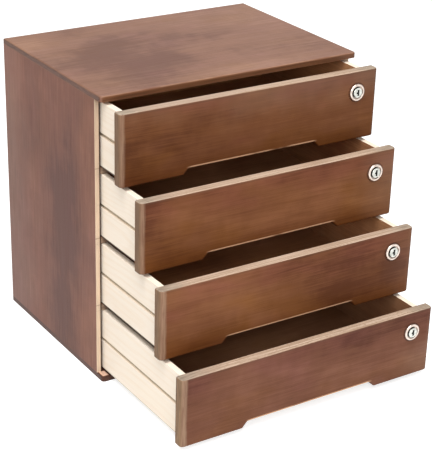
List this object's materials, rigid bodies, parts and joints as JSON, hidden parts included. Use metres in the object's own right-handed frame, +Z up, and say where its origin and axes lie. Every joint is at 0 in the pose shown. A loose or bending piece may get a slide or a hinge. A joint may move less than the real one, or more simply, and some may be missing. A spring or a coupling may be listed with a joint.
{
  "type": "desktop drawer organizer",
  "caption": "Desktop wooden organizer with stacked sliding drawers on runners, finger-notched fronts and a cam lock in each front.",
  "frame": {"origin": "centre of the carcass's underside, halfway between the front edges of the top and bottom panels and the rear", "axes": "+Z up, +X to the right of someone who faces the drawers, the drawers slide out towards -Y"},
  "size_m": [0.308, 0.3773, 0.315],
  "materials": {
    "stained_wood": "brown stain under satin varnish",
    "back_board": "brown stained plywood",
    "stained_board": "brown stained board with a paler front edge",
    "pine": "raw sanded pine, stained inside the drawer",
    "base_board": "brown stained thin plywood",
    "hardwood": "raw planed hardwood",
    "nickel": "nickel plated zinc",
    "plated_steel": "zinc plated steel"
  },
  "bodies": {
    "carcass": {"top_panel": "stained_wood", "bottom_panel": "stained_wood", "left_side_panel": "stained_wood", "right_side_panel": "stained_wood", "back_panel": "back_board", "divider_1": "stained_board", "divider_2": "stained_board", "divider_3": "stained_board", "left_runner_1": "hardwood", "right_runner_1": "hardwood", "left_runner_2": "hardwood", "right_runner_2": "hardwood", "left_runner_3": "hardwood", "right_runner_3": "hardwood", "left_runner_4": "hardwood", "right_runner_4": "hardwood", "carcass_dowels": "hardwood", "back_screws": "plated_steel", "runner_brads": "plated_steel"},
    "drawer_1": {"drawer_front_1": "stained_wood", "drawer_left_side_1": "pine", "drawer_right_side_1": "pine", "drawer_back_1": "pine", "drawer_base_1": "base_board", "lock_housing_1": "nickel", "lock_nut_1": "nickel"},
    "lock_1": {"lock_plug_1": "nickel", "lock_cam_1": "nickel", "cam_screw_1": "plated_steel"},
    "drawer_2": {"drawer_front_2": "stained_wood", "drawer_left_side_2": "pine", "drawer_right_side_2": "pine", "drawer_back_2": "pine", "drawer_base_2": "base_board", "lock_housing_2": "nickel", "lock_nut_2": "nickel"},
    "lock_2": {"lock_plug_2": "nickel", "lock_cam_2": "nickel", "cam_screw_2": "plated_steel"},
    "drawer_3": {"drawer_front_3": "stained_wood", "drawer_left_side_3": "pine", "drawer_right_side_3": "pine", "drawer_back_3": "pine", "drawer_base_3": "base_board", "lock_housing_3": "nickel", "lock_nut_3": "nickel"},
    "lock_3": {"lock_plug_3": "nickel", "lock_cam_3": "nickel", "cam_screw_3": "plated_steel"},
    "drawer_4": {"drawer_front_4": "stained_wood", "drawer_left_side_4": "pine", "drawer_right_side_4": "pine", "drawer_back_4": "pine", "drawer_base_4": "base_board", "lock_housing_4": "nickel", "lock_nut_4": "nickel"},
    "lock_4": {"lock_plug_4": "nickel", "lock_cam_4": "nickel", "cam_screw_4": "plated_steel"}
  },
  "joints": [
    {"name": "drawer_1_slide", "type": "slide", "parent": "carcass", "child": "drawer_1", "axis": [0, -1, 0], "range_m": [-0.0397, 0.132]},
    {"name": "drawer_2_slide", "type": "slide", "parent": "carcass", "child": "drawer_2", "axis": [0, -1, 0], "range_m": [-0.0792, 0.0925]},
    {"name": "drawer_3_slide", "type": "slide", "parent": "carcass", "child": "drawer_3", "axis": [0, -1, 0], "range_m": [-0.1177, 0.054]},
    {"name": "drawer_4_slide", "type": "slide", "parent": "carcass", "child": "drawer_4", "axis": [0, -1, 0], "range_m": [-0.1587, 0.013]},
    {"name": "lock_1_turn", "type": "hinge", "parent": "drawer_1", "child": "lock_1", "pos_m": [0.12731, -0.1468, 0.286], "axis": [0, 1, 0], "range_deg": [0, 90]},
    {"name": "lock_2_turn", "type": "hinge", "parent": "drawer_2", "child": "lock_2", "pos_m": [0.12731, -0.1863, 0.21025], "axis": [0, 1, 0], "range_deg": [0, 90]},
    {"name": "lock_3_turn", "type": "hinge", "parent": "drawer_3", "child": "lock_3", "pos_m": [0.12731, -0.2248, 0.1345], "axis": [0, 1, 0], "range_deg": [0, 90]},
    {"name": "lock_4_turn", "type": "hinge", "parent": "drawer_4", "child": "lock_4", "pos_m": [0.12731, -0.2658, 0.05875], "axis": [0, 1, 0], "range_deg": [0, 90]}
  ]
}
